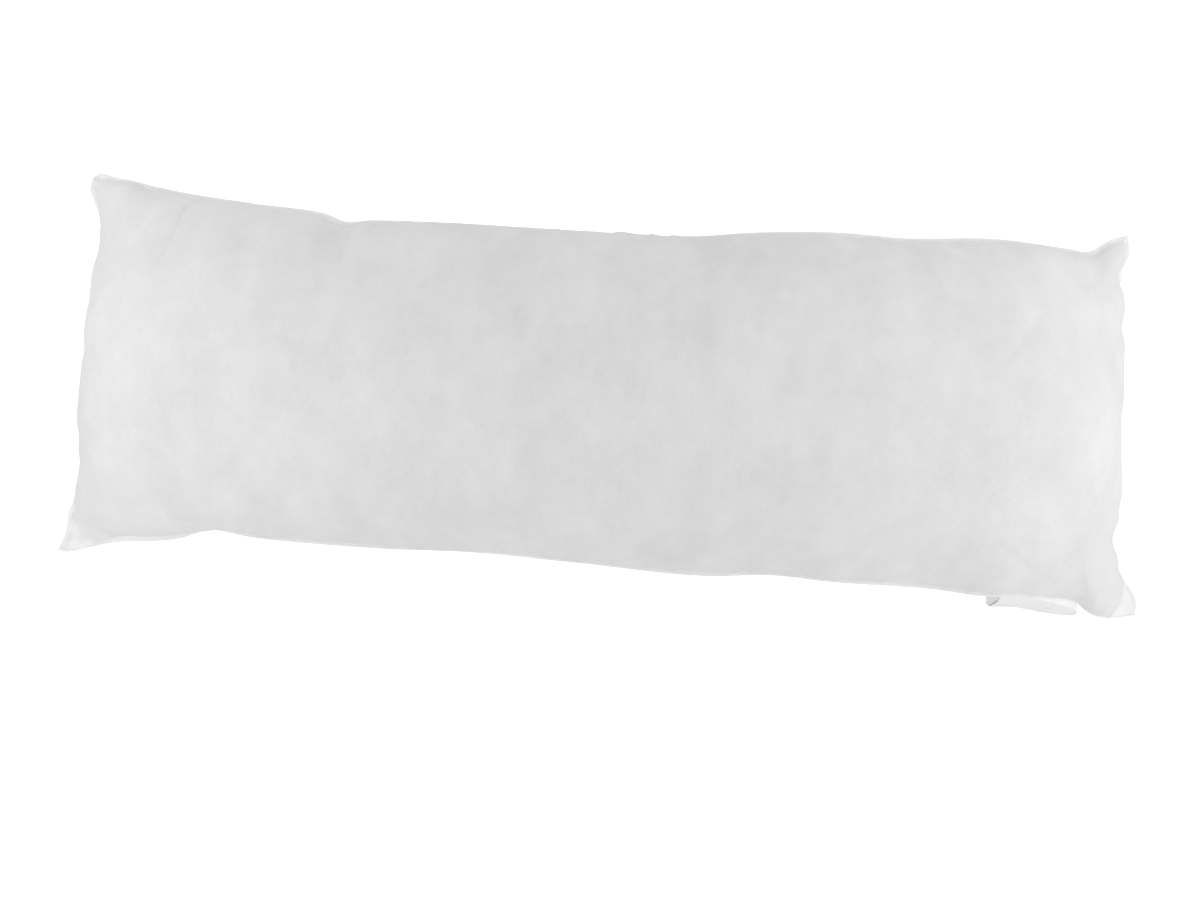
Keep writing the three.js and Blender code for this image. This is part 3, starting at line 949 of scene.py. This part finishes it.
def cover_material(finish):
    """Bonded non-woven cloth over fibre filling: cloudy, with a lattice of bonding points, and lighter where
    it is thin and unfilled, as painted light shining through it.
    """
    material, tree, surface = new_material("nonwoven_cover")
    bonds = bonding_lattice(tree, finish)
    tint = add_node(tree, "MapRange", {"Value": bonds, "To Min": 1 - finish.bond_shade, "To Max": 1})
    shade = add_node(
        tree, "Math", {0: cloudy_shade(tree, finish), 1: tint.outputs["Result"]}, operation="MULTIPLY")
    # Painted light: the lighter colour on thin, unfilled cloth stands for light shining through it
    painted_light_mix = mixed_colour(tree, vertex_value(tree, "filled"), finish.thin_colour, finish.colour)
    fibres = add_node(tree, "TexNoise", {"Vector": place_on_piece(tree), "Scale": 900, "Detail": 2})
    height = add_node(
        tree, "Math", {0: fibres.outputs["Fac"], 1: FIBRE_HEIGHT, 2: bonds}, operation="MULTIPLY_ADD")
    set_inputs(tree, surface, {
        "Base Color": shaded_colour(tree, painted_light_mix, shade.outputs["Value"]),
        "Normal": bumped(tree, height.outputs["Value"], strength=finish.bond_bump, depth=0.0003),
        "Roughness": finish.roughness, "Specular IOR Level": 0.25,
        "Sheen Weight": 0.15, "Sheen Roughness": 0.5,
    })
    return material


def thread_material(finish):
    """White sewing thread, a little uneven in shade and surface."""
    material, tree, surface = new_material("sewing_thread")
    uneven = add_node(tree, "TexNoise", {"Vector": place_on_piece(tree), "Scale": 2500}).outputs["Fac"]
    darkest = [THREAD_SHADE * part for part in finish.thin_colour]
    set_inputs(tree, surface, {
        "Base Color": mixed_colour(tree, uneven, darkest, finish.thin_colour),
        "Normal": bumped(tree, uneven, strength=0.4, depth=0.0001),
        "Roughness": 0.6, "Sheen Weight": 0.2,
    })
    return material


def label_material(finish):
    """Smooth white label cloth with a faint sheen and fine ribs along the strip, with painted shade on its
    inner side and where its outside hangs steeply.
    """
    material, tree, surface = new_material("label_cloth")
    clouds = add_node(tree, "TexNoise", {"Vector": place_on_piece(tree), "Scale": 120, "Detail": 3})
    shade = add_node(tree, "MapRange", {"Value": clouds.outputs["Fac"], "To Min": 0.94, "To Max": 1.02})
    # Painted shade: the darker colour where the vertex value is 1
    cloth = mixed_colour(tree, vertex_value(tree, "painted_shade"), finish.colour, finish.painted_shade_colour)
    ribs = add_node(tree, "TexWave", {
        "Vector": place_on_piece(tree), "Scale": 1 / finish.rib_pitch / WAVE_RIBS, "Distortion": 0.4})
    set_inputs(tree, surface, {
        "Base Color": shaded_colour(tree, cloth, shade.outputs["Result"]),
        "Normal": bumped(tree, ribs.outputs["Fac"], strength=0.15, depth=0.0001),
        "Roughness": finish.roughness, "Specular IOR Level": 0.35, "Sheen Weight": 0.1,
    })
    return material


# Stage

def floor_plane(name, size, height, material):
    """A square at a height, which is part of the stage."""
    half = size / 2
    mesh = bpy.data.meshes.new(name)
    corners = [(-half, -half, height), (half, -half, height), (half, half, height), (-half, half, height)]
    mesh.from_pydata(corners, [], [(0, 1, 2, 3)])
    mesh.materials.append(material)
    plane = bpy.data.objects.new(name, mesh)
    bpy.context.scene.collection.objects.link(plane)
    return plane


def build_floor(stage):
    """The pale floor, and over it a clear sheet that only the camera sees, whose glow makes it white."""
    material, tree, surface = new_material("pale_floor")
    set_inputs(tree, surface, {
        "Base Color": (*stage.floor_colour, 1), "Roughness": 0.9, "Specular IOR Level": 0.1})
    floor_plane("floor", stage.floor_size, 0, material)

    glow = bpy.data.materials.new("floor_glow")
    glow.use_nodes = True
    tree = glow.node_tree
    tree.nodes.clear()
    light = add_node(tree, "Emission", {"Strength": stage.floor_glow})
    clear = add_node(tree, "BsdfTransparent", {})
    both = add_node(tree, "AddShader", {0: light.outputs[0], 1: clear.outputs[0]})
    add_node(tree, "OutputMaterial", {"Surface": both.outputs[0]})
    sheet = floor_plane("floor_glow", stage.floor_size, GLOW_HEIGHT, glow)
    sheet.visible_diffuse = sheet.visible_glossy = sheet.visible_transmission = sheet.visible_shadow = False


def build_surrounding(stage):
    """Even pale light from all round."""
    world = bpy.data.worlds.new("pale_surrounding")
    world.use_nodes = True
    set_inputs(world.node_tree, world.node_tree.nodes["Background"], {
        "Color": (1, 1, 1, 1), "Strength": stage.fill_strength})
    bpy.context.scene.world = world


def build_softbox(name, place, power, stage):
    """A large soft light that faces the middle of the floor."""
    data = bpy.data.lights.new(name, "AREA")
    data.shape = "RECTANGLE"
    data.size = stage.softbox_width
    data.size_y = stage.softbox_length
    data.energy = power
    light = bpy.data.objects.new(name, data)
    light.location = place
    light.rotation_euler = place.to_track_quat("Z", "X").to_euler()
    light.visible_camera = False
    bpy.context.scene.collection.objects.link(light)


def build_camera(stage):
    """The camera straight above the pillow, with the photograph's framing."""
    data = bpy.data.cameras.new("camera")
    data.lens = stage.lens
    data.sensor_width = SENSOR_WIDTH
    data.shift_x = SHIFT_X / PICTURE_WIDTH
    data.shift_y = SHIFT_Y / PICTURE_WIDTH
    data.dof.use_dof = False
    camera = bpy.data.objects.new("camera", data)
    move = to_frame() * MM
    camera.location = (move[0], move[1], stage.camera_height)
    camera.rotation_euler = (0, 0, stage.camera_roll)
    bpy.context.scene.collection.objects.link(camera)
    bpy.context.scene.camera = camera


def build_stage(stage):
    """A pale floor, a pale surrounding, two large soft lights beside the ends, and the camera above."""
    bpy.context.scene.view_settings.view_transform = "Standard"
    build_floor(stage)
    build_surrounding(stage)
    build_softbox("softbox_left", stage.left_place, stage.left_power, stage)
    build_softbox("softbox_right", stage.right_place, stage.right_power, stage)
    build_camera(stage)


# Settings

class CoverSizes(bpy.types.PropertyGroup):
    edge_width: FloatProperty(
        name="Sewn edge width", description="How far the flat sewn edge stands out past the filling",
        default=0.0035, min=0.001, max=0.01, unit="LENGTH")
    edge_thickness: FloatProperty(
        name="Sewn edge thickness", description="Both layers of cloth together in the sewn edge",
        default=0.0009, min=0.0003, max=0.003, unit="LENGTH")
    cells_along: IntProperty(
        name="Cells along", description="Cells of each panel along the pillow while it is filled",
        default=160, min=20)
    cells_across: IntProperty(
        name="Cells across", description="Cells of each panel across the pillow while it is filled",
        default=62, min=10)
    frames: IntProperty(
        name="Filling frames", description="Frames over which the filling presses the cloth out",
        default=18, min=1)
    pressure: FloatProperty(
        name="Filling pressure", description="How hard the filling presses the cloth out", default=4, min=0)
    cloth_stiffness: FloatProperty(
        name="Cloth stiffness", description="Resistance of the cloth to stretch", default=40, min=0)
    bending_stiffness: FloatProperty(
        name="Bending stiffness", description="Resistance of the cloth to sharp folds", default=0.05, min=0)
    slack: FloatProperty(
        name="Slack", description="Size of the cut cloth against its nominal size",
        default=1.025, min=0.9, max=1.1)
    most_move: FloatProperty(
        name="Most movement", description="How far the filling may move a point of the cover",
        default=0.010, min=0, unit="LENGTH")
    wrinkle_depth: FloatProperty(
        name="Wrinkle depth", description="Depth of the fine creases against their usual depth",
        default=1, min=0)
    lump_height: FloatProperty(
        name="Lump height", description="Unevenness of the filling under the cloth", default=0.0005, min=0,
        unit="LENGTH")


class CoverFinish(bpy.types.PropertyGroup):
    colour: FloatVectorProperty(
        name="Filled colour", description="The cloth where filling lies behind it", subtype="COLOR",
        default=(0.78, 0.78, 0.78), min=0, max=1)
    # Painted light: this lighter colour stands for light shining through the thin, unfilled cloth; the thread
    # uses it as its own white
    thin_colour: FloatVectorProperty(
        name="Unfilled colour", description="The cloth where nothing lies behind it", subtype="COLOR",
        default=(0.88, 0.88, 0.88), min=0, max=1)
    roughness: FloatProperty(
        name="Roughness", description="Roughness of the cloth", default=0.7, min=0, max=1)
    bond_spacing: FloatProperty(
        name="Bonding pitch", description="Distance between bonding points", default=0.00176, unit="LENGTH")
    bond_shade: FloatProperty(
        name="Bonding shade", description="How dark a bonding point is", default=0.045)
    bond_bump: FloatProperty(
        name="Bonding depth", description="How deep the bonding points look", default=0.2)
    cloud_size: FloatProperty(
        name="Cloud size", description="Size of the cloudy patches of the filling",
        default=0.065, unit="LENGTH")
    cloudiness: FloatProperty(
        name="Cloudiness", description="How strong the cloudy patches are", default=0.085)


class StitchingSizes(bpy.types.PropertyGroup):
    from_cover: FloatProperty(
        name="Distance", description="How far the stitching lies from the filled cover",
        default=0.0012, min=0,
        unit="LENGTH")
    pitch: FloatProperty(
        name="Pitch", description="Distance from stitch to stitch",
        default=0.0032, min=0.001, unit="LENGTH")
    stitch_length: FloatProperty(
        name="Stitch length", description="Length of thread that shows at each stitch",
        default=0.0026, unit="LENGTH")
    thread: FloatProperty(
        name="Thread", description="Thickness of the thread", default=0.00035, unit="LENGTH")


class LabelSizes(bpy.types.PropertyGroup):
    layer_length: FloatProperty(
        name="Layer length",
        description="Length of each of the two layers, with the part under the sewn edge",
        default=0.0285, min=0.01, max=0.06, unit="LENGTH")
    tuck: FloatProperty(
        name="Tuck", description="How far its ends lie under the sewn edge",
        default=0.0025, min=0, unit="LENGTH")
    thickness: FloatProperty(
        name="Thickness", description="Thickness of the cloth", default=0.0003, unit="LENGTH")
    layer_gap: FloatProperty(
        name="Layer gap", description="Distance between the two layers' middles",
        default=0.00045, unit="LENGTH")
    below_seam: FloatProperty(
        name="Below the seam", description="How far between the layers lies below the seam's middle",
        default=0.0015, unit="LENGTH")
    crease_depth: FloatProperty(
        name="Crease depth", description="Depth of the trough below the crease",
        default=0.0004, unit="LENGTH")
    crinkle: FloatProperty(
        name="Crinkle", description="Unevenness of the cloth", default=0.0003, unit="LENGTH")
    # Painted shade: how far the outside darkens towards the darker colour where it hangs steeply
    hanging_shade: FloatProperty(
        name="Hanging dullness", description="How dull its outside looks where it hangs clear of the cover, "
        "against its inner side", default=0.37, min=0, max=1)


class LabelFinish(bpy.types.PropertyGroup):
    colour: FloatVectorProperty(
        name="Colour", description="The label cloth", subtype="COLOR", default=(1, 1, 1), min=0, max=1)
    # Painted shade: the darker colour of the inner side, and of the outside where it hangs
    painted_shade_colour: FloatVectorProperty(
        name="Reverse colour", description="The duller inner side of the label cloth", subtype="COLOR",
        default=(0.73, 0.73, 0.73), min=0, max=1)
    roughness: FloatProperty(
        name="Roughness", description="Roughness of the cloth", default=0.5, min=0, max=1)
    rib_pitch: FloatProperty(
        name="Rib pitch", description="Distance between its ribs", default=0.0005, unit="LENGTH")


class StageSettings(bpy.types.PropertyGroup):
    floor_size: FloatProperty(name="Floor size", description="Side of the floor", default=12, unit="LENGTH")
    floor_colour: FloatVectorProperty(
        name="Floor colour", description="Colour of the floor", subtype="COLOR", default=(0.92, 0.92, 0.92))
    floor_glow: FloatProperty(
        name="Floor glow", description="Light that the floor gives off itself", default=0.74)
    fill_strength: FloatProperty(
        name="Fill", description="Strength of the surrounding light", default=0.752)
    left_power: FloatProperty(
        name="Left light", description="Power of the left softbox", default=0.67, unit="POWER")
    right_power: FloatProperty(
        name="Right light", description="Power of the right softbox", default=0.94, unit="POWER")
    left_place: FloatVectorProperty(
        name="Left light's place", description="Where the left softbox stands", subtype="TRANSLATION",
        default=(-0.42, -0.04, 0.32))
    right_place: FloatVectorProperty(
        name="Right light's place", description="Where the right softbox stands", subtype="TRANSLATION",
        default=(0.5, 0, 0.35))
    softbox_width: FloatProperty(
        name="Softbox width", description="Width of each softbox", default=0.4, min=0, unit="LENGTH")
    softbox_length: FloatProperty(
        name="Softbox length", description="Length of each softbox", default=1.2, min=0, unit="LENGTH")
    lens: FloatProperty(name="Lens", description="Focal length for a sensor 36 mm wide", default=30)
    camera_height: FloatProperty(
        name="Camera height", description="Height of the camera above the floor",
        default=0.898, unit="LENGTH")
    camera_roll: FloatProperty(
        name="Camera roll", description="Turn of the camera about its own axis", default=math.radians(3.5),
        subtype="ANGLE")


# Operators and panel

class PILLOW_OT_cover(bpy.types.Operator):
    """Makes the filled cover with its sewn edge."""
    bl_idname = "pillow.cover"
    bl_label = "Filled cover"

    def execute(self, context):
        build_cover(context.scene.pillow_cover, cover_material(context.scene.pillow_finish))
        return {"FINISHED"}


class PILLOW_OT_stitching(bpy.types.Operator):
    """Makes the stitches round the sewn edge."""
    bl_idname = "pillow.stitching"
    bl_label = "Stitching"

    def execute(self, context):
        scene = context.scene
        build_stitching(scene.pillow_cover, scene.pillow_stitching, thread_material(scene.pillow_finish))
        return {"FINISHED"}


class PILLOW_OT_label(bpy.types.Operator):
    """Makes the folded label, which carries nothing."""
    bl_idname = "pillow.label"
    bl_label = "Bare label"

    def execute(self, context):
        build_label(context.scene.pillow_label, label_material(context.scene.pillow_label_finish))
        return {"FINISHED"}


class PILLOW_OT_stage(bpy.types.Operator):
    """Makes the floor, the lights and the camera."""
    bl_idname = "pillow.stage"
    bl_label = "Stage"

    def execute(self, context):
        build_stage(context.scene.pillow_stage)
        return {"FINISHED"}


class PILLOW_PT_sidebar(bpy.types.Panel):
    """Lists the pieces of the pillow and their settings."""
    bl_idname = "PILLOW_PT_sidebar"
    bl_label = "Pillow insert"
    bl_space_type = "VIEW_3D"
    bl_region_type = "UI"
    bl_category = "Pillow"

    def draw(self, context):
        for operator in OPERATORS:
            self.layout.operator(operator.bl_idname)
        for name in SETTINGS:
            group = getattr(context.scene, name)
            box = self.layout.box()
            for setting in group.bl_rna.properties:
                if setting.identifier not in ("rna_type", "name"):
                    box.prop(group, setting.identifier)


SETTINGS = {
    "pillow_cover": CoverSizes, "pillow_finish": CoverFinish, "pillow_stitching": StitchingSizes,
    "pillow_label": LabelSizes, "pillow_label_finish": LabelFinish, "pillow_stage": StageSettings,
}
OPERATORS = (PILLOW_OT_cover, PILLOW_OT_stitching, PILLOW_OT_label, PILLOW_OT_stage)
CLASSES = (*SETTINGS.values(), *OPERATORS, PILLOW_PT_sidebar)


def register():
    for kind in CLASSES:
        bpy.utils.register_class(kind)
    for name, group in SETTINGS.items():
        setattr(bpy.types.Scene, name, PointerProperty(type=group))


def unregister():
    for name in SETTINGS:
        delattr(bpy.types.Scene, name)
    for kind in reversed(CLASSES):
        bpy.utils.unregister_class(kind)


def main():
    register()
    bpy.ops.pillow.cover()
    bpy.ops.pillow.stitching()
    bpy.ops.pillow.label()
    bpy.ops.pillow.stage()


if __name__ == "__main__":
    main()
